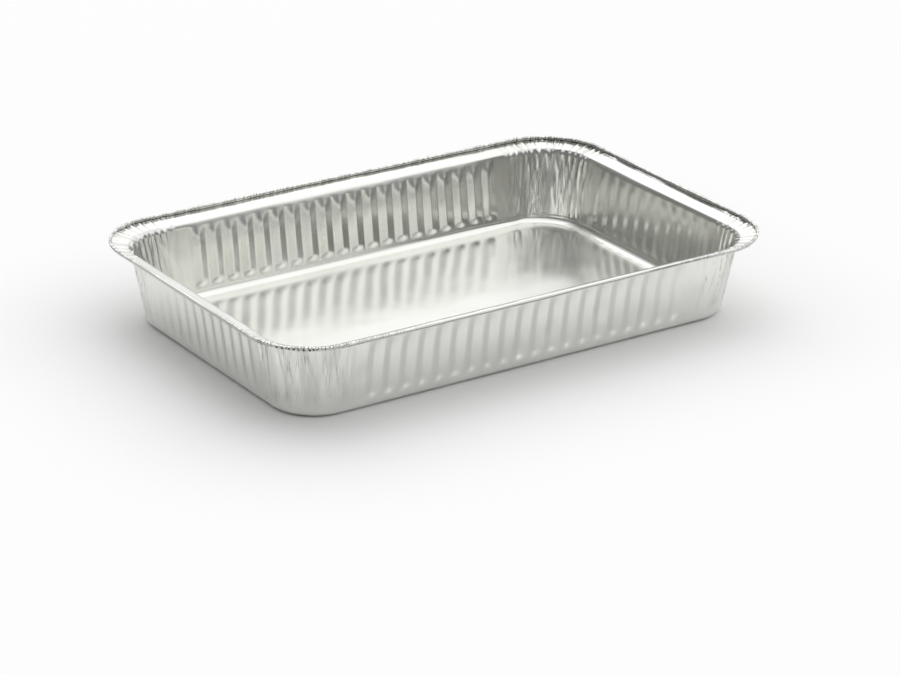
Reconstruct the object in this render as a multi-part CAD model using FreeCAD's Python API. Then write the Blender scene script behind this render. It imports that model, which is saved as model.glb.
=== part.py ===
import FreeCAD, Part
import math
import os
from FreeCAD import Vector

# Rectangular roasting tray pressed from one sheet of aluminium foil: a flat floor, four fluted walls that
# lean outwards, a broad flange that rises towards its edge, and the edge itself curled up into a bead.
# Origin: centre of the floor's underside. X runs along the tray, Y across it, Z up. Sizes are in mm.

length = 320.0                  # over the bead
width = 213.5                   # over the bead
height = 48.0                   # floor's underside to the top of the bead
foil = 0.1

rim_width = 11.4                # edge of the bead to the top of the wall
wall_taper = 6.0                # the floor's outline is this much inside the top of the wall
wall_corner_radius = 26.8       # the same all the way up
base_bend_radius = 5.3          # bend from the floor to the wall
base_bend_flats = 5             # flats that make up this bend

flange_rise = math.radians(10)  # slope of the flange, up towards its edge
lip_radius = 1.5                # bend from the wall to the flange
lip_flats = 3                   # flats that make up this bend
bead_radius = 1.35
bead_turn = math.radians(320)   # how far round the edge is curled
bead_flats = 9                  # flats that make up the curl

long_side_flutes = 20
long_side_pitch = 10.2
short_side_flutes = 11
short_side_pitch = 9.65
flute_bottom = 5.8              # height at which a flute starts
flute_top = 40.6                # height at which it ends
flute_width_top = 7.8
flute_width_bottom = 6.8
flute_end_flats = 3             # flats of the rounded lower end
flute_depth = 1.0               # pressed inwards
flute_flank = math.radians(21)  # slope of its sides against the wall
flute_clearance = 0.2           # the pressing's shape starts this far outside the wall
side_block = 2.2                # depth of the block a side is hollowed from; more than a flute's depth

# The bead's centre and the flange's slope fix where the wall ends and the lip begins.
bead_out = rim_width - bead_radius
bead_height = height - bead_radius
lip_to_bead = bead_radius + lip_radius + math.sin(flange_rise) * (bead_out - lip_radius)
wall_top = bead_height - lip_to_bead / math.cos(flange_rise)
wall_lean = math.atan2(wall_taper, wall_top)
bend_top = base_bend_radius * (1 - math.sin(wall_lean))
corners = ((1, 1), (-1, 1), (-1, -1), (1, -1))


def planar(points):
    return Part.Face(Part.makePolygon(points + points[:1]))


def half_spans(z):
    """Half length and half width of the wall's outer face at one height."""
    shrink = rim_width + wall_taper * (1 - z / wall_top)
    return length / 2 - shrink, width / 2 - shrink


def corner_centre(quarter, z):
    """Centre of the wall's rounding at one corner."""
    sx, sy = corners[quarter]
    half_length, half_width = half_spans(z)
    return Vector(sx * (half_length - wall_corner_radius), sy * (half_width - wall_corner_radius), z)


def corner_arc(quarter, radius, z):
    """Quarter circle about the centre of one corner."""
    points = []
    for part in (0, 0.5, 1):
        angle = math.radians(90 * (quarter + part))
        spoke = Vector(radius * math.cos(angle), radius * math.sin(angle), 0)
        points.append(corner_centre(quarter, z) + spoke)
    return Part.Arc(*points).toShape()


def run_round(section, z):
    """A section, with X outwards from the wall's outer face, turned round the corners and run between them."""
    pieces = []
    for quarter in range(4):
        centre = corner_centre(quarter, z)
        axis = Vector(centre.x, centre.y, 0)
        start = section.copy()
        start.translate(Vector(wall_corner_radius, 0, 0))
        start.rotate(Vector(0, 0, 0), Vector(0, 0, 1), 90 * quarter)
        start.translate(axis)
        pieces.append(start.revolve(axis, Vector(0, 0, 1), 90))
        end = start.copy()
        end.rotate(axis, Vector(0, 0, 1), 90)
        pieces.append(end.extrude(corner_centre((quarter + 1) % 4, z) - centre))
    return pieces


def offset_outline(points, distance):
    """Closed outline with each edge moved outwards; its points run anticlockwise."""
    moved = []
    for index, point in enumerate(points):
        before = point - points[index - 1]
        after = points[(index + 1) % len(points)] - point
        first = Vector(before.y, -before.x, 0).normalize()
        second = Vector(after.y, -after.x, 0).normalize()
        moved.append(point + (first + second) * (distance / (1 + first.dot(second))))
    return moved


def flute(growth):
    """Pressing for one flute, in the wall's own plane: X across, Y up the wall, Z inwards."""
    half_top = flute_width_top / 2
    half_bottom = flute_width_bottom / 2
    top = flute_top / math.cos(wall_lean)
    turn = flute_bottom / math.cos(wall_lean) + half_bottom
    outline = [Vector(half_top, top, 0), Vector(-half_top, top, 0)]
    for flat in range(flute_end_flats + 1):
        angle = math.pi * (1 + flat / flute_end_flats)
        outline.append(Vector(half_bottom * math.cos(angle), turn + half_bottom * math.sin(angle), 0))
    rings = []
    for depth in (-flute_clearance, flute_depth + growth):
        ring = offset_outline(outline, growth / math.sin(flute_flank) - depth / math.tan(flute_flank))
        rings.append([point + Vector(0, 0, depth) for point in ring])
    outer, inner = rings
    faces = [planar(outer), planar(inner)]
    for index in range(len(outline)):
        faces.append(planar([outer[index - 1], outer[index], inner[index], inner[index - 1]]))
    return Part.makeSolid(Part.makeShell(faces))


def side_wall(count, pitch, quarter):
    """One flat side of the wall with its row of flutes, facing +Y, between the corners at both its ends."""
    outline = []
    for z, order in ((bend_top, (1, -1)), (wall_top, (-1, 1))):
        half_length, half_width = half_spans(z)
        across, reach = (half_length, half_width) if quarter % 2 == 0 else (half_width, half_length)
        outline += [Vector(side * (across - wall_corner_radius), reach, z) for side in order]
    foot = half_spans(0)[1 - quarter % 2]
    shells = []
    for growth in (0, foil):
        face = planar(outline)
        face.translate(Vector(0, -growth, 0))
        pressings = []
        for index in range(count):
            pressing = flute(growth)
            pressing.rotate(Vector(0, 0, 0), Vector(1, 0, 0), 90 - math.degrees(wall_lean))
            pressing.translate(Vector((index - (count - 1) / 2) * pitch, foot, 0))
            pressings.append(pressing)
        block = face.extrude(Vector(0, growth - side_block, 0))
        shells.append(block.cut(pressings))
    return shells[0].cut(shells[1])


def wall():
    """Four fluted sides and four plain slanted corners."""
    pieces = []
    rows = ((long_side_flutes, long_side_pitch), (short_side_flutes, short_side_pitch))
    for quarter in range(4):
        side = side_wall(*rows[quarter % 2], quarter)
        side.rotate(Vector(0, 0, 0), Vector(0, 0, 1), 90 * quarter)
        outer, inner = [corner_arc(quarter, wall_corner_radius - step, bend_top) for step in (0, foil)]
        ends = [Part.makeLine(outer.firstVertex().Point, inner.firstVertex().Point),
                Part.makeLine(outer.lastVertex().Point, inner.lastVertex().Point)]
        strip = Part.Face(Part.Wire([outer, ends[1], inner, ends[0]]))
        slant = corner_centre(quarter, wall_top) - corner_centre(quarter, bend_top)
        pieces += [side, strip.extrude(slant)]
    return pieces


def bend(centre, radius, start, end, flats):
    """Points round a bend in the section's plane."""
    points = []
    for flat in range(flats + 1):
        angle = start + (end - start) * flat / flats
        points.append(centre + Vector(radius * math.cos(angle), 0, radius * math.sin(angle)))
    return points


def rim():
    """Lip, flange and bead."""
    lip = Vector(lip_radius, 0, wall_top)
    bead = Vector(bead_out, 0, bead_height)
    lip_end = math.pi / 2 + flange_rise
    bead_start = flange_rise - math.pi / 2
    sides = []
    for lip_size, bead_size in ((lip_radius, bead_radius), (lip_radius + foil, bead_radius - foil)):
        run = bend(lip, lip_size, math.pi, lip_end, lip_flats)
        run += bend(bead, bead_size, bead_start, bead_start + bead_turn, bead_flats)
        sides.append(run)
    under, upper = sides
    return run_round(planar(under + upper[::-1]), wall_top)


def floor():
    """Flat floor and the bend that turns it up into the wall."""
    centre = Vector(-base_bend_radius * math.cos(wall_lean), 0, base_bend_radius)
    outer = bend(centre, base_bend_radius, -math.pi / 2, -wall_lean, base_bend_flats)
    inner = bend(centre, base_bend_radius - foil, -math.pi / 2, -wall_lean, base_bend_flats)
    inner[-1] = outer[-1] - Vector(foil, 0, 0)
    pieces = run_round(planar(outer + inner[::-1]), bend_top)
    outline = []
    for quarter in range(4):
        arc = corner_arc(quarter, wall_corner_radius + centre.x, bend_top)
        following = corner_arc((quarter + 1) % 4, wall_corner_radius + centre.x, bend_top)
        outline += [arc, Part.makeLine(arc.lastVertex().Point, following.firstVertex().Point)]
    plate = Part.Face(Part.Wire(outline)).extrude(Vector(0, 0, foil))
    plate.translate(Vector(0, 0, -bend_top))
    return pieces + [plate]


pieces = floor() + wall() + rim()
tray = pieces[0].fuse(pieces[1:]).removeSplitter()
os.makedirs("parts", exist_ok=True)
tray.exportStep("parts/foil_tray.step")
print("solids", len(tray.Solids), "valid", tray.isValid(), "volume mm3", round(tray.Volume, 1))
print("wall from", round(bend_top, 2), "to", round(wall_top, 2), "box", tray.BoundBox)
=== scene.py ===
import bpy
import math
from mathutils import Matrix, Vector


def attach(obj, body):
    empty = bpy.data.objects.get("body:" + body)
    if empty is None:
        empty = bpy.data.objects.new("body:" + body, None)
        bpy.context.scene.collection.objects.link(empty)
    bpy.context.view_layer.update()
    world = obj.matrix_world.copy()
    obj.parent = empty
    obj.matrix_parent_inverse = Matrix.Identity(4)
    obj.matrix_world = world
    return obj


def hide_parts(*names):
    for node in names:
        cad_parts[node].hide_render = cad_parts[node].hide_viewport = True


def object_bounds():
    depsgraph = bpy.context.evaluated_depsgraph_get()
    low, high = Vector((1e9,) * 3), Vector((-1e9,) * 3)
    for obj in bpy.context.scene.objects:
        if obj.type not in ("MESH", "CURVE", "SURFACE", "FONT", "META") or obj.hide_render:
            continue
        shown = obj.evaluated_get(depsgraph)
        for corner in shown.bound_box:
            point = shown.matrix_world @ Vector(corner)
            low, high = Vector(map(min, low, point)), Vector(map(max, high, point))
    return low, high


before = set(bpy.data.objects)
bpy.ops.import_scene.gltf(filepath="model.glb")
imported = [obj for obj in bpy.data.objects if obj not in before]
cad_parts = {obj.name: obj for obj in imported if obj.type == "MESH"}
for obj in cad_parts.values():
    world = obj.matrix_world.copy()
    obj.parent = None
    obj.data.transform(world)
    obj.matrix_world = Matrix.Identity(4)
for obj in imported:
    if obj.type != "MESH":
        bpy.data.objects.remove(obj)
cadLow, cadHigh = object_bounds()
mm = 0.001

# The sheet's own sizes; the overall sizes come from the frame.
tray = {
    "rimWidth": 11.4 * mm,          # edge of the bead to the top of the wall
    "wallTaper": 6.0 * mm,
    "cornerRadius": 26.8 * mm,      # of the wall, the same all the way up
    "bendRadius": 5.3 * mm,
    "flangeRise": math.radians(10),
    "lipRadius": 1.5 * mm,
    "beadRadius": 1.35 * mm,
    "thickness": 0.1 * mm,
}
length, width, height = cadHigh - cadLow
beadOut = tray["rimWidth"] - tray["beadRadius"]
beadUp = height - tray["beadRadius"]
flangeClimb = math.sin(tray["flangeRise"]) * (beadOut - tray["lipRadius"])
lipToBead = tray["beadRadius"] + tray["lipRadius"] + flangeClimb
wallTop = beadUp - lipToBead / math.cos(tray["flangeRise"])
wallLean = math.atan2(tray["wallTaper"], wallTop)
bendTop = tray["bendRadius"] * (1 - math.sin(wallLean))


class Wire:
    # One output of a node, or the bare tree; sums on it add nodes.
    def __init__(self, tree, socket=None):
        self.tree = tree
        self.socket = socket

    def node(self, kind, settings=None, values=None, out=0):
        made = self.tree.nodes.new(kind)
        for name, value in (settings or {}).items():
            setattr(made, name, value)
        shown = [socket for socket in made.inputs if socket.enabled]
        for name, value in (values or {}).items():
            socket = shown[name] if isinstance(name, int) else next(s for s in shown if s.name == name)
            if isinstance(value, Wire):
                self.tree.links.new(value.socket, socket)
            else:
                socket.default_value = value
        given = {socket.name if isinstance(out, str) else place: socket
                 for place, socket in enumerate(socket for socket in made.outputs if socket.enabled)}
        return Wire(self.tree, given.get(out))

    def math(self, operation, *others):
        return self.node("ShaderNodeMath", {"operation": operation}, dict(enumerate((self, *others))))

    def __add__(self, other):
        return self.math("ADD", other)

    def __sub__(self, other):
        return self.math("SUBTRACT", other)

    def __mul__(self, other):
        return self.math("MULTIPLY", other)

    def __truediv__(self, other):
        return self.math("DIVIDE", other)

    def __mod__(self, other):
        return self.math("FLOORED_MODULO", other)

    def __rsub__(self, other):
        return self.node("ShaderNodeMath", {"operation": "SUBTRACT"}, {0: other, 1: self})

    __radd__ = __add__
    __rmul__ = __mul__

    def held(self, low=0.0, high=1.0):
        return self.math("MAXIMUM", low).math("MINIMUM", high)

    def eased(self, low, high):
        return self.node("ShaderNodeMapRange", {"interpolation_type": "SMOOTHSTEP"},
                         {"Value": self, "From Min": low, "From Max": high})

    def vector(self, operation, *others, out=0):
        values = dict(enumerate((self, *others)))
        return self.node("ShaderNodeVectorMath", {"operation": operation}, values, out)

    def parts(self):
        return [self.node("ShaderNodeSeparateXYZ", values={0: self}, out=axis) for axis in "XYZ"]

    def joined(self, x, y, z):
        return self.node("ShaderNodeCombineXYZ", values={"X": x, "Y": y, "Z": z})


# How finely the sheet is divided: the floor needs few columns, the fluted wall and the crimped rim many.
# A lane is one flute's share of a side, from -1 to 1.
mesh = {
    "floor": {"corner": 16, "end": 4, "lane": (-1, 0)},
    "wall": {"corner": 80, "end": 20, "lane": (-1, -0.88, -0.7, -0.4, -0.14, 0, 0.14, 0.4, 0.7, 0.88)},
    "rim": {"corner": 160, "end": 40, "lane": (-1, 0)},
    "floorRings": (0.06, 0.18, 0.3, 0.42, 0.54, 0.65, 0.75, 0.84, 0.91, 0.96),
    "bendSteps": 6,
    "wallHeights": (5.3, 6.1, 7, 8, 9, 10.2, 12, 14.5, 18, 21.5, 25, 28.5, 32, 35.5, 38, 40.2),   # mm
    "lipSteps": 4,
    "flangeSteps": 4,
    "beadTurns": (-80, -70, -58, -46, -34, -22, -10, 6, 28, 56, 90, 125, 160, 200, 240),   # degrees
    "beadBlend": 2,                 # steps over which the flange's creases give way to the bead's
    "keysApart": 10,                # between sides; a side's own keys run from 0 to 4
    "keyDigits": 5,
}
curlUnit = 100                      # degrees round the bead for each 1 of the curl value
offBead = -1.0                      # the curl value on all points that aren't on the bead


def sectionRows():
    # Rows of the sheet's outer face from the floor's middle to the curled edge.
    rows = []
    bendIn = tray["bendRadius"] * math.cos(wallLean)
    bendTuck = tray["wallTaper"] * (1 - bendTop / wallTop)

    def add(band, out, up, facing, tuck=0.0, share=1.0, zone=(0, 0, 0), curl=offBead):
        rows.append({"band": band, "section": (out, up, tuck), "facing": (*facing, share), "zone": zone,
                     "curl": curl})

    for share in mesh["floorRings"]:
        add("floor", -bendIn, 0, (0, -1), bendTuck, share)
    for step in range(mesh["bendSteps"]):
        turn = -math.pi / 2 + (math.pi / 2 - wallLean) * step / mesh["bendSteps"]
        facing = (math.cos(turn), math.sin(turn))
        out = tray["bendRadius"] * facing[0] - bendIn
        add("floor", out, tray["bendRadius"] * (1 + facing[1]), facing, bendTuck)
    for up in (bendTop, *[h * mm for h in mesh["wallHeights"]], wallTop):
        tuck = tray["wallTaper"] * (1 - up / wallTop)
        facing = (math.cos(wallLean), -math.sin(wallLean))
        add("floor" if up == bendTop else "wall", 0, up, facing, tuck, zone=(1, 0, 0))
    rows[-1]["band"] = "rim"
    for step in range(1, mesh["lipSteps"] + 1):
        turn = math.pi - (math.pi / 2 - tray["flangeRise"]) * step / mesh["lipSteps"]
        spoke = (math.cos(turn), math.sin(turn))
        add("rim", tray["lipRadius"] * (1 + spoke[0]), wallTop + tray["lipRadius"] * spoke[1],
            (-spoke[0], -spoke[1]), zone=(0, step / mesh["lipSteps"], 0))
    lipOut, lipUp = rows[-1]["section"][:2]
    facing = (math.sin(tray["flangeRise"]), -math.cos(tray["flangeRise"]))
    flangeEnd = (beadOut + tray["beadRadius"] * facing[0], beadUp + tray["beadRadius"] * facing[1])
    for step in range(1, mesh["flangeSteps"]):
        share = step / mesh["flangeSteps"]
        add("rim", lipOut + (flangeEnd[0] - lipOut) * share, lipUp + (flangeEnd[1] - lipUp) * share, facing,
            zone=(0, 1, 0))
    for step, degrees in enumerate(mesh["beadTurns"]):
        spoke = (math.cos(math.radians(degrees)), math.sin(math.radians(degrees)))
        blend = step / mesh["beadBlend"]
        add("rim", beadOut + tray["beadRadius"] * spoke[0], beadUp + tray["beadRadius"] * spoke[1], spoke,
            zone=(0, max(0, 1 - blend), min(1, blend)), curl=degrees / curlUnit)
    return rows


def bandColumns(plan):
    # Columns round the tray: each side's leading corner, plain end, flutes and plain end.
    # A column's key tells its place, and is the same in every band that has the column.
    columns = []
    arc = tray["cornerRadius"] * math.pi / 2
    for side in range(4):
        count = fluteCounts[side % 2]
        pitch = flutes["Short Side Pitch" if side % 2 else "Long Side Pitch"]
        fluted = count * pitch / 2
        core = (width if side % 2 else length) / 2 - tray["rimWidth"] - tray["cornerRadius"]

        def add(key, turn, run, beyond, place, isFluted, reach):
            # The place along the sheet counts from the middle of the nearer corner.
            nextCorner = reach > arc / 2 + core
            unrolled = (reach - arc - 2 * core, (side + 1) % 4) if nextCorner else (reach, side)
            key = round(side * mesh["keysApart"] + key, mesh["keyDigits"])
            columns.append({"key": key, "station": (side, turn, run + laneShift),
                            "lane": (place, isFluted, beyond), "unrolled": unrolled})

        for step in range(plan["corner"]):
            turn = step / plan["corner"]
            add(turn, turn, -fluted, -1, 1, 0, arc * (turn - 0.5))
        for step in range(plan["end"]):
            share = step / plan["end"]
            add(1 + share, 1, -fluted, share - 1, 1, 0, arc / 2 + (core - fluted) * share)
        for lane in range(count):
            middle = (lane + 0.5) * pitch - fluted
            for place in plan["lane"]:
                key = 2 + (lane + (place + 1) / 2) / count
                add(key, 1, middle, 0, place, 1, arc / 2 + core + middle + place * pitch / 2)
        for step in range(plan["end"]):
            share = step / plan["end"]
            add(3 + share, 1, fluted, share, 1, 0, arc / 2 + core + fluted + (core - fluted) * share)
    return columns


fieldNames = ("section", "facing", "zone", "station", "lane", "unrolled")


def flatSheet():
    # The sheet's faces and, on each point, where it ends up in the section and round the tray.
    rows = sectionRows()
    bands = {name: bandColumns(mesh[name]) for name in ("floor", "wall", "rim")}
    points, faces, rings = [], [], []
    for across, row in enumerate(rows):
        ring = {}
        for column in bands[row["band"]]:
            ring[column["key"]] = len(points)
            unrolled = (*column["unrolled"], row["curl"])
            points.append({**row, **column, "unrolled": unrolled, "flat": (unrolled[0], across * mm, 0)})
        rings.append(ring)
    for lower, upper in zip(rings, rings[1:]):
        shared = [key for key in lower if key in upper]
        lowerKeys, upperKeys = list(lower), list(upper)
        for index, key in enumerate(shared):
            following = shared[(index + 1) % len(shared)]
            strip = []
            for keys, ring, order in ((lowerKeys, lower, 1), (upperKeys, upper, -1)):
                first, last = keys.index(key), keys.index(following)
                last += len(keys) if last <= first else 0
                edge = [ring[keys[place % len(keys)]] for place in range(first, last + 1)]
                strip += edge[::order]
            faces.append(strip)
    faces.append(list(rings[0].values())[::-1])
    made = bpy.data.meshes.new("foilTray")
    made.from_pydata([point["flat"] for point in points], [], faces)
    for name in fieldNames:
        field = made.attributes.new(name, "FLOAT_VECTOR", "POINT")
        field.data.foreach_set("vector", [number for point in points for number in point[name]])
    return made


flutes = {
    "Long Side Pitch": 10.2 * mm,
    "Short Side Pitch": 9.65 * mm,
    "Flute Bottom": 4.8 * mm,
    "Flute Top": 44.5 * mm,
    "Flute Depth Low": 1.0 * mm,
    "Flute Depth High": 1.6 * mm,
    "Short Side Share": 0.5,        # of those depths, on the short sides
    "Flute Rounding": 0.3,          # 0 is a plain zigzag, 1 a smooth wave
    "Flute Tip": 4.6 * mm,          # height over which a flute fades at its lower end
    "Flute Run Out": 12 * mm,       # and at its upper end, which reaches into the lip
}
fluteCounts = (20, 11)              # on a long and on a short side
laneShift = -1.25 * mm              # the waves lie this much off the middle of their lanes
creases = {
    "Pleat Depth": 0.8 * mm,
    "Pleat Spacing": 4.6 * mm,
    "Crimp Depth": 0.42 * mm,
    "Crimp Spacing": 1.9 * mm,
    "Hem Depth": 0.3 * mm,          # the rolled edge draws in under the bead
    "Flange Crease": 0.3 * mm,
    "Wall Wave": 0.35 * mm,
    "Floor Wave": 0.5 * mm,
    "Rim Sag": 0.5 * mm,
    "Bead Wave": 0.35 * mm,
}
creasing = {                        # a reach is from where a crease starts to fade to where it has gone
    "cornerShift": 31.7,            # so that no two corners crease alike
    "wander": 4 * mm,               # a line of creases strays this far from its even spacing
    "pleatRuns": ((0.02, 11.0, 1.0), (0.22, 23.0, 0.8), (-0.2, 37.0, 0.7)),   # slant, offset, share
    "pleatFlank": (0.0, 0.28),      # shares of the spacing, as are the next two
    "crimpFlank": (0.02, 0.42),
    "radialFlank": (0.0, 0.16),
    "crimpOffset": 51.0,
    "radialOffset": 71.0,
    "pleatReach": (0.0, 17 * mm),   # along the side, from the end of the corner's arc
    "crimpReach": (2 * mm, 46 * mm),
    "pleatFoot": 0.4,               # share of the depth at the foot of the wall
    "pleatStart": 7 * mm,           # height from which the pleats grow
    "hemCrimp": 0.5,                # share of the crimps that the hem adds to its own
    "rimWave": 0.4,                 # share of the wall's wave on the flange and the bead
    "sagStart": 20 * mm,            # height from which the rim's sag is felt
    "floorEdge": (0.9, 1.0),        # shares of the floor's size over which its wave dies away
    "floorBend": (0.0, 4 * mm),     # heights over which it does so up the bend
}
hemRise = (-0.8, -0.6)              # curl values over which the hem under the bead sets in
hemFall = (-0.14, 0.06)             # and over which it ends
clouds = {                          # noise: scale round, scale up, offset, and from where to where it grows
    "drift": (55, 30, 40.0),
    "pleats": (120, 40, 0.0, 0.36, 0.54),
    "crimps": (300, 0, 61.0, 0.3, 0.55),
    "radial": (90, 0, 81.0, 0.3, 0.42),
    "bead": (60, 0, 33.0, 0.35, 0.65),
    "sag": (14, 0, 15.0, 0.25, 0.75),
    "wall": (26, 30, 5.0, 0.25, 0.75),
    "floor": (22, 0, 95.0, 0.3, 0.75),
}
dentedSide = 2                      # the near long wall
dents = (                           # along, up, size, depth, all in mm
    (46, 23, 9, 0.5),
    (-8, 12, 6, 0.4),
    (12, 18, 8, 0.5),
    (74, 15, 9, 0.6),
    (-104, 22, 8, 0.4),
    (112, 26, 7, -0.35),
)


def pressTree():
    # Folds the flat sheet into the tray and presses in its flutes, pleats, crimps and dents.
    tree = bpy.data.node_groups.new("pressFoilTray", "GeometryNodeTree")
    sizes = {
        "Length": length, "Width": width, "Wall Top": wallTop,
        "Rim Width": tray["rimWidth"], "Corner Radius": tray["cornerRadius"],
        **flutes, **creases, "Seed": 7.0,
    }
    tree.interface.new_socket("Sheet", in_out="INPUT", socket_type="NodeSocketGeometry")
    for name, value in sizes.items():
        tree.interface.new_socket(name, in_out="INPUT", socket_type="NodeSocketFloat").default_value = value
    tree.interface.new_socket("Foil", in_out="INPUT", socket_type="NodeSocketMaterial")
    tree.interface.new_socket("Tray", in_out="OUTPUT", socket_type="NodeSocketGeometry")
    entry = tree.nodes.new("NodeGroupInput")
    size = {socket.name: Wire(tree, socket) for socket in entry.outputs if socket.name}
    start = Wire(tree)

    def read(name):
        field = start.node("GeometryNodeInputNamedAttribute", {"data_type": "FLOAT_VECTOR"}, {"Name": name})
        return field.parts()

    out, up, tuck = read("section")
    faceOut, faceUp, share = read("facing")
    isWall, isFlange, isBead = read("zone")
    side, turn, run = read("station")
    place, isFluted, beyond = read("lane")
    along, corner, curl = read("unrolled")
    seed = size["Seed"]

    # Flutes: a wave that is deepest in the middle of each lane and grows up the wall.
    odd = side % 2
    halfPitch = (size["Long Side Pitch"] * (1 - odd) + size["Short Side Pitch"] * odd) * 0.5
    slide = halfPitch * place * isFluted
    bottom, top = size["Flute Bottom"], size["Flute Top"]
    rise = ((up - bottom) / (top - bottom)).held()
    zigzag = place.math("ABSOLUTE")
    swell = 0.5 - (zigzag * math.pi).math("COSINE") * 0.5
    wave = 1 - zigzag - (swell - zigzag) * size["Flute Rounding"]
    ends = up.eased(bottom, bottom + size["Flute Tip"]) * (1 - up.eased(top - size["Flute Run Out"], top))
    deep = size["Flute Depth Low"] * (1 - rise) + size["Flute Depth High"] * rise
    deep = deep * (1 - odd * (1 - size["Short Side Share"]))
    pressed = deep * wave * isFluted * ends

    # Place round the tray, before anything is creased.
    halfLong = size["Length"] * 0.5 - size["Rim Width"] - size["Corner Radius"]
    halfWide = size["Width"] * 0.5 - size["Rim Width"] - size["Corner Radius"]
    acrossHalf = halfLong * (1 - odd) + halfWide * odd - tuck
    reachHalf = halfWide * (1 - odd) + halfLong * odd - tuck
    runTotal = run + beyond * (acrossHalf - run.math("ABSOLUTE")) + slide
    quarter = math.pi / 2
    sideAngle = (side + 1) * quarter
    angle = sideAngle - (1 - turn) * quarter
    normalX, normalY = angle.math("COSINE"), angle.math("SINE")
    sideX, sideY = sideAngle.math("COSINE"), sideAngle.math("SINE")
    radius = size["Corner Radius"] + out
    plainX = (sideX * reachHalf - sideY * runTotal + normalX * radius) * share
    plainY = (sideY * reachHalf + sideX * runTotal + normalY * radius) * share

    def noise(name, shift=0.0):
        scale, upScale, offset = clouds[name][:3]
        spot = start.joined(plainX * scale, plainY * scale, up * upScale + seed + (offset + shift))
        return start.node("ShaderNodeTexNoise", {"noise_dimensions": "3D"},
                          {"Vector": spot, "Scale": 1.0, "Detail": 1.0})

    def cloud(name, shift=0.0):
        return noise(name, shift).eased(*clouds[name][3:])

    # Pleats in the corners, crimps round the bead and creases across the flange.
    gap = (along.math("ABSOLUTE") - size["Corner Radius"] * math.pi / 4).math("MAXIMUM", 0)
    drift = (noise("drift") - 0.5) * creasing["wander"]

    def lines(spacing, slant, offset, flank):
        spot = (along + up * slant + drift) / spacing + corner * creasing["cornerShift"] + offset
        kind = {"voronoi_dimensions": "1D", "feature": "DISTANCE_TO_EDGE"}
        edge = start.node("ShaderNodeTexVoronoi", kind, {"W": spot, "Scale": 1.0, "Randomness": 1.0})
        return 1 - edge.eased(*flank)

    nearCorner = 1 - gap.eased(*creasing["pleatReach"])
    pleats = 0.0
    for slant, offset, weight in creasing["pleatRuns"]:
        crease = lines(size["Pleat Spacing"], slant, offset, creasing["pleatFlank"])
        pleats = crease * cloud("pleats", offset) * weight + pleats
    foot = creasing["pleatFoot"]
    grown = up.eased(creasing["pleatStart"], size["Wall Top"]) * (1 - foot) + foot
    pleats = pleats * nearCorner * isWall * grown * size["Pleat Depth"]
    nearRim = 1 - gap.eased(*creasing["crimpReach"])
    crimps = lines(size["Crimp Spacing"], 0.0, creasing["crimpOffset"], creasing["crimpFlank"])
    crimps = crimps * isBead * nearRim * cloud("crimps") * size["Crimp Depth"]
    radial = lines(size["Pleat Spacing"], 0.0, creasing["radialOffset"], creasing["radialFlank"])
    radial = radial * isFlange * nearCorner * cloud("radial") * size["Flange Crease"]

    # The hem under the bead, and slow unevenness of bead, wall, flange, rim and floor.
    hem = curl.eased(*hemRise) * (1 - curl.eased(*hemFall))
    drawn = hem * (size["Hem Depth"] + crimps * creasing["hemCrimp"])
    drawn = drawn + cloud("bead") * isBead * size["Bead Wave"]
    waved = isWall + isBead * creasing["rimWave"] + isFlange * creasing["rimWave"]
    press = pressed + pleats + crimps + radial + drawn + cloud("wall") * size["Wall Wave"] * waved
    sag = cloud("sag") * size["Rim Sag"] * up.eased(creasing["sagStart"], size["Wall Top"])
    isFloor = (1 - isWall - isFlange - isBead).held() * (1 - up.eased(*creasing["floorBend"]))
    lifted = cloud("floor") * isFloor * (1 - share.eased(*creasing["floorEdge"])) * size["Floor Wave"]

    onSide = 1 - (side - dentedSide).math("ABSOLUTE").held()
    for dentAlong, dentUp, spread, depth in dents:
        aside = runTotal - dentAlong * mm
        above = up - dentUp * mm
        distance = (aside * aside + above * above).math("SQRT")
        press = press + (1 - distance.eased(0, spread * mm)) * isWall * onSide * (depth * mm)

    # Set out in space.
    x = plainX - normalX * faceOut * press * share
    y = plainY - normalY * faceOut * press * share
    z = up - faceUp * press - sag + lifted
    spot = start.joined(x, y, z)
    moved = start.node("GeometryNodeSetPosition", values={"Geometry": size["Sheet"], "Position": spot})
    smooth = start.node("GeometryNodeSetShadeSmooth", values={"Geometry": moved, "Shade Smooth": True})
    real = start.node("GeometryNodeRealizeInstances", values={"Geometry": smooth})
    done = start.node("GeometryNodeSetMaterial", values={"Geometry": real, "Material": size["Foil"]})
    leave = tree.nodes.new("NodeGroupOutput")
    tree.links.new(done.socket, leave.inputs[0])
    return tree, sizes


finish = {
    "paleColor": (0.84, 0.843, 0.805, 1),
    "brightColor": (0.875, 0.878, 0.845, 1),
    "hemShadeColor": (0.52, 0.52, 0.51, 1),
    "crimpShadeColor": (0.03, 0.03, 0.03, 1),
    "creaseShadeColor": (0.5, 0.5, 0.49, 1),
    "knurlShadeAndSpeckleColor": (0.16, 0.16, 0.16, 1),
    "roughness": 0.15,
    "slowRoughness": 0.05,          # most that each of these adds to that
    "hemRoughness": 0.2,
    "knurlRoughness": 0.1,
    "streakRoughness": 0.05,
    "slowScale": 26.0,              # per metre, of the foil's slow change of tone
    "fineScale": 240.0,
    "fineDepth": 0.002 * mm,
    "slowTone": (0.3, 0.7),         # noise values from the pale to the bright color
    "slowRough": (0.35, 0.7),
    "wander": 3 * mm,               # a line strays this far from its even spacing
    "cornerShift": 17.3,            # so that no two corners are marked alike
    "patchShift": 5,                # the same for the patches in which marks gather
}
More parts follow.
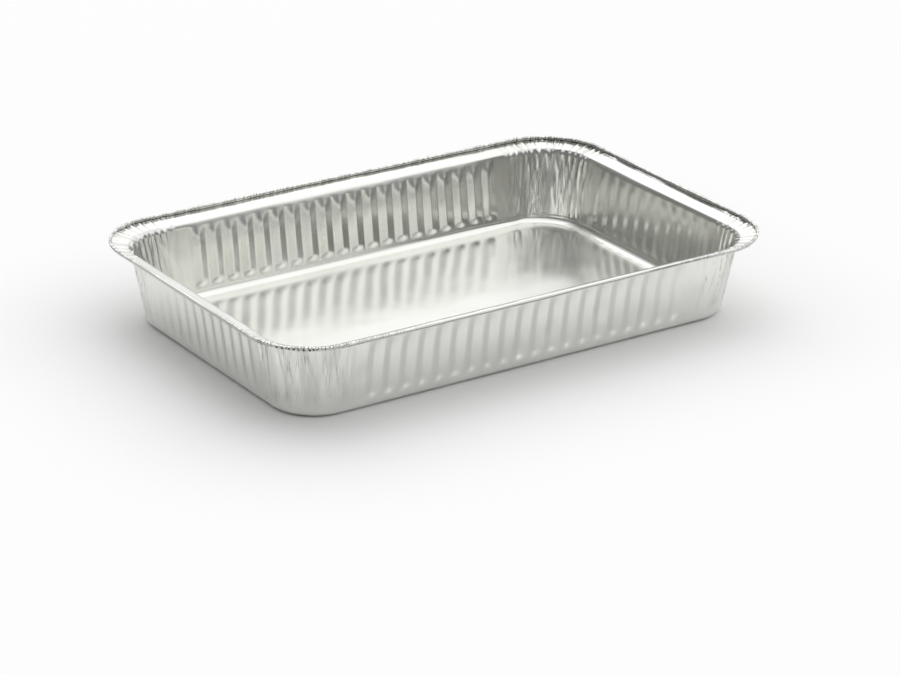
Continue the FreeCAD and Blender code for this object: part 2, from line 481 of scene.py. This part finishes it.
scratches = {                       # fine creases that run up the corners in clusters, and dull (rougher) streaks, both darkened in colour as painted shade
    "spacing": 1.5 * mm,
    "depth": 0.06 * mm,
    "runs": ((0.05, 3.0), (-0.16, 8.0)),   # slant, offset
    "flank": (0.0, 0.2),
    "patches": (170, 60, 0.0, 0.58, 0.68),
    "streaks": (150, 18, 14.0, 0.42, 0.62),
    "reach": (0, 20 * mm),          # along the side, from the end of the corner's arc
    "markFoot": (6 * mm, 12 * mm),
    "streakFoot": (4 * mm, 12 * mm),
    "markShade": 0.7,
    "streakShade": 0.35,
}
crimpShadeDashes = {                          # painted shade: near-black dashes in the crimps under the bead
    "spacing": 1.7 * mm,
    "offset": 5.0,
    "flank": (0.12, 0.34),
    "patches": (330, 0, 2.0, 0.38, 0.48),
    "fall": (0.05, 0.35),           # curl values over which they end
    "runs": ((0, 12, 50), (1, -24, 8), (2, -18, 16), (3, -78, -30)),   # corner, and mm from its middle
    "fade": 6,                      # mm at both ends of a run
    "pick": 4,                      # how sharply a corner's number is told from the next one's
}
knurls = {                          # wrinkles over the top of the bead and inside the curl, darkened in colour as painted shade, with dark speckle inside the curl
    "spacing": 1.3 * mm,
    "offset": 9.0,
    "flank": (0.0, 0.32),
    "patches": (110, 0, 7.0, 0.38, 0.5),
    "rise": (0.0, 0.3),
    "reach": (16 * mm, 66 * mm),
    "tone": 0.8,
    "speckleScale": 900.0,            # per metre, of the dark speckle inside the curl
    "speckleUp": 0.3,                 # its scale upwards, as a share of that
    "speckleLevels": (0.46, 0.6),
    "speckleRise": (0.8, 1.2),
    "speckleShare": 0.6,
}


def foilMaterial():
    material = bpy.data.materials.new("rolledFoil")
    material.use_nodes = True
    tree = material.node_tree
    tree.nodes.clear()
    start = Wire(tree)
    where = start.node("ShaderNodeTexCoord", out="Object")
    x, y, z = where.parts()
    unrolled = start.node("ShaderNodeAttribute", {"attribute_name": "unrolled"}, out="Vector")
    along, corner, curl = unrolled.parts()

    def noise(spot, scale, detail):
        return start.node("ShaderNodeTexNoise", values={"Vector": spot, "Scale": scale, "Detail": detail})

    def lines(slant, spacing, offset, flank):
        stray = (slow - 0.5) * finish["wander"]
        spot = (along + z * slant + stray) / spacing + corner * finish["cornerShift"] + offset
        kind = {"voronoi_dimensions": "1D", "feature": "DISTANCE_TO_EDGE"}
        edge = start.node("ShaderNodeTexVoronoi", kind, {"W": spot, "Scale": 1.0, "Randomness": 1.0})
        return 1 - edge.eased(*flank)

    def patches(plan, shift=0.0):
        alongScale, upScale, offset, low, high = plan
        across = corner * finish["patchShift"] + (offset + shift)
        return noise(start.joined(along * alongScale, across, z * upScale), 1.0, 1.0).eased(low, high)

    def mixed(factor, first, second):
        values = {"Factor": factor, "A": first, "B": second}
        return start.node("ShaderNodeMix", {"data_type": "RGBA"}, values)

    slow = noise(where, finish["slowScale"], 2.0)
    fine = noise(where, finish["fineScale"], 2.0)
    tint = mixed(slow.eased(*finish["slowTone"]), finish["paleColor"], finish["brightColor"])
    inset = tray["rimWidth"] + tray["cornerRadius"]
    gapX = (length / 2 - inset) - x.math("ABSOLUTE")
    gapY = (width / 2 - inset) - y.math("ABSOLUTE")
    gap = gapX.math("MAXIMUM", gapY)

    marks = 0.0
    for slant, offset in scratches["runs"]:
        line = lines(slant, scratches["spacing"], offset, scratches["flank"])
        marks = line * patches(scratches["patches"], offset) + marks
    inCorner = 1 - gap.eased(*scratches["reach"])
    marks = marks * inCorner * z.eased(*scratches["markFoot"])
    streaks = patches(scratches["streaks"]) * inCorner * z.eased(*scratches["streakFoot"])
    # Painted shade: the corner creases and streaks are darkened in colour.
    creaseShade = marks * scratches["markShade"] + streaks * scratches["streakShade"]
    tint = mixed(creaseShade, tint, finish["creaseShadeColor"])

    # Painted shade: the hem under the bead is darkened in colour to show the shadow line there, and is also
    # made rougher.
    hem = curl.eased(*hemRise) * (1 - curl.eased(*hemFall))
    tint = mixed(hem, tint, finish["hemShadeColor"])
    # Painted shade: near-black dashes along the crimps under the bead, in runs near some of the corners.
    crimpShade = lines(0.0, crimpShadeDashes["spacing"], crimpShadeDashes["offset"], crimpShadeDashes["flank"]) * patches(crimpShadeDashes["patches"])
    crimpShade = crimpShade * curl.eased(*hemRise) * (1 - curl.eased(*crimpShadeDashes["fall"]))
    shadedRuns = 0.0
    for number, first, last in crimpShadeDashes["runs"]:
        atCorner = (1 - (corner - number).math("ABSOLUTE") * crimpShadeDashes["pick"]).held()
        run = along.eased(first * mm, (first + crimpShadeDashes["fade"]) * mm)
        run = run * (1 - along.eased((last - crimpShadeDashes["fade"]) * mm, last * mm))
        shadedRuns = atCorner * run + shadedRuns
    tint = mixed(crimpShade * shadedRuns, tint, finish["crimpShadeColor"])

    # Painted shade: the wrinkles on the bead are darkened in colour; dark speckle is mixed into the same
    # darkening inside the curl.
    knurl = lines(0.0, knurls["spacing"], knurls["offset"], knurls["flank"]) * patches(knurls["patches"])
    knurl = knurl * curl.eased(*knurls["rise"]) * (1 - gap.eased(*knurls["reach"]))
    speckleSize = knurls["speckleScale"]
    speckle = noise(start.joined(x * speckleSize, y * speckleSize, z * speckleSize * knurls["speckleUp"]), 1.0, 1.0)
    speckle = speckle.eased(*knurls["speckleLevels"]) * curl.eased(*knurls["speckleRise"]) * knurls["speckleShare"]
    knurl = knurl.math("MAXIMUM", speckle)
    tint = mixed(knurl * knurls["tone"], tint, finish["knurlShadeAndSpeckleColor"])

    rough = slow.eased(*finish["slowRough"]) * finish["slowRoughness"] + finish["roughness"]
    rough = rough + hem * finish["hemRoughness"] + knurl * finish["knurlRoughness"]
    rough = rough + streaks * finish["streakRoughness"]
    raised = (marks + knurl) * scratches["depth"] + fine * finish["fineDepth"]
    bump = start.node("ShaderNodeBump", values={"Strength": 1.0, "Distance": 1.0, "Height": raised})
    coat = start.node("ShaderNodeBsdfPrincipled", values={
        "Base Color": tint, "Metallic": 1.0, "Roughness": rough, "Normal": bump})
    start.node("ShaderNodeOutputMaterial", values={"Surface": coat})
    return material


def makeTray(material):
    flat = flatSheet()
    print("sheet", len(flat.vertices), "points", len(flat.polygons), "faces")
    sheet = bpy.data.objects.new("flatSheet", flat)
    bpy.context.scene.collection.objects.link(sheet)
    tree, sizes = pressTree()
    press = sheet.modifiers.new("press", "NODES")
    press.node_group = tree
    for socket in tree.interface.items_tree:
        if socket.in_out == "INPUT" and socket.name in sizes:
            press[socket.identifier] = sizes[socket.name]
        elif socket.name == "Foil":
            press[socket.identifier] = material
    wall = sheet.modifiers.new("wall", "SOLIDIFY")
    wall.thickness = tray["thickness"]
    wall.offset = -1
    shaped = bpy.data.meshes.new_from_object(sheet.evaluated_get(bpy.context.evaluated_depsgraph_get()))
    bpy.data.objects.remove(sheet)
    for field in list(shaped.attributes):
        if field.name in fieldNames[:-1]:
            shaped.attributes.remove(field)
    shaped.name = "foilTray"
    piece = bpy.data.objects.new("foilTray", shaped)
    bpy.context.scene.collection.objects.link(piece)
    triangles = sum(len(face.vertices) - 2 for face in shaped.polygons)
    print("tray", len(shaped.polygons), "faces", triangles, "triangles")
    return piece


stageLook = {
    "floorHalf": 4.0,               # metres, half the floor's width
    "floorColor": 0.95,
    "floorGlow": 0.85,              # share of plain white in the floor away from the tray
    "glowReach": 130 * mm,          # from the tray's foot to where the floor is whitest
    "skyFront": 0.2,                # the room is darkest low down in front
    "skyBack": 1.15,                # and brightest above and behind
    "skyTowards": (0.48, 0.18, 0.86),   # where it is brightest
    "skyFade": (-0.02, 0.8),        # from the darkest to the brightest, as cosines from that direction
    "lampPower": 4.0,
    "lampSize": 2.0,                # metres
    "lampPlace": (0.2, 1.2, 1.8),   # metres
}


def makeStage():
    scene = bpy.context.scene
    world = bpy.data.worlds.new("paleRoom")
    world.use_nodes = True
    world.node_tree.nodes.clear()
    start = Wire(world.node_tree)
    towards = Vector(stageLook["skyTowards"]).normalized()
    bright = start.node("ShaderNodeTexCoord", out="Generated").vector("DOT_PRODUCT", towards)
    share = bright.eased(*stageLook["skyFade"])
    strength = share * (stageLook["skyBack"] - stageLook["skyFront"]) + stageLook["skyFront"]
    sky = start.node("ShaderNodeBackground", values={"Color": (1, 1, 1, 1), "Strength": strength})
    start.node("ShaderNodeOutputWorld", values={"Surface": sky})
    scene.world = world

    plane = bpy.data.meshes.new("floor")
    half = stageLook["floorHalf"]
    corners = [(-half, -half, 0), (half, -half, 0), (half, half, 0), (-half, half, 0)]
    plane.from_pydata(corners, [], [(0, 1, 2, 3)])
    paint = bpy.data.materials.new("paleFloor")
    paint.use_nodes = True
    paint.node_tree.nodes.clear()
    start = Wire(paint.node_tree)
    tone = stageLook["floorColor"]
    coat = start.node("ShaderNodeBsdfDiffuse", values={"Color": (tone, tone, tone, 1)})
    glow = start.node("ShaderNodeEmission", values={"Color": (1, 1, 1, 1), "Strength": 1.0})
    kinds = ("Camera", "Glossy", "Transmission")
    rays = [start.node("ShaderNodeLightPath", out=f"Is {kind} Ray") for kind in kinds]
    x, y = start.node("ShaderNodeTexCoord", out="Object").parts()[:2]
    inset = tray["rimWidth"] + tray["wallTaper"] + tray["cornerRadius"]
    beyondX = (x.math("ABSOLUTE") - (length / 2 - inset)).math("MAXIMUM", 0)
    beyondY = (y.math("ABSOLUTE") - (width / 2 - inset)).math("MAXIMUM", 0)
    away = (beyondX * beyondX + beyondY * beyondY).math("SQRT") - tray["cornerRadius"]
    shown = (rays[0] + rays[1] + rays[2]).held() * away.eased(0, stageLook["glowReach"])
    both = start.node("ShaderNodeMixShader", values={0: shown * stageLook["floorGlow"], 1: coat, 2: glow})
    start.node("ShaderNodeOutputMaterial", values={"Surface": both})
    plane.materials.append(paint)
    floor = bpy.data.objects.new("floor", plane)
    scene.collection.objects.link(floor)

    light = bpy.data.lights.new("softbox", "AREA")
    light.size = stageLook["lampSize"]
    light.energy = stageLook["lampPower"]
    lamp = bpy.data.objects.new("softbox", light)
    lamp.location = stageLook["lampPlace"]
    lamp.rotation_euler = (-lamp.location).to_track_quat("-Z", "Y").to_euler()
    scene.collection.objects.link(lamp)


view = {                            # the photograph's frame is 900 pixels wide
    "azimuth": math.radians(-33.869),
    "elevation": math.radians(22.761),
    "roll": math.radians(0.572),
    "distance": 1.8265,
    "focalPixels": 3297.67,
    "framePixels": 900,
    "sensorWidth": 36,              # mm
    "aim": (0.01003, 0, -0.01683),
}


def makeCamera():
    lens = bpy.data.cameras.new("camera")
    lens.sensor_width = view["sensorWidth"]
    lens.lens = view["focalPixels"] * lens.sensor_width / view["framePixels"]
    camera = bpy.data.objects.new("camera", lens)
    azimuth, elevation, roll = view["azimuth"], view["elevation"], view["roll"]
    back = Vector((math.sin(azimuth) * math.cos(elevation), -math.cos(azimuth) * math.cos(elevation),
                   math.sin(elevation)))
    level = Vector((math.cos(azimuth), math.sin(azimuth), 0))
    upright = back.cross(level)
    right = level * math.cos(roll) + upright * math.sin(roll)
    turned = Matrix((right, back.cross(right), back)).transposed().to_4x4()
    camera.matrix_world = Matrix.Translation(Vector(view["aim"]) + back * view["distance"]) @ turned
    bpy.context.scene.collection.objects.link(camera)
    bpy.context.scene.camera = camera


foil = foilMaterial()
piece = makeTray(foil)
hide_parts("foil_tray")
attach(piece, "root")
makeStage()
makeCamera()
bpy.context.scene.view_settings.view_transform = "Standard"
print("stage and camera made")
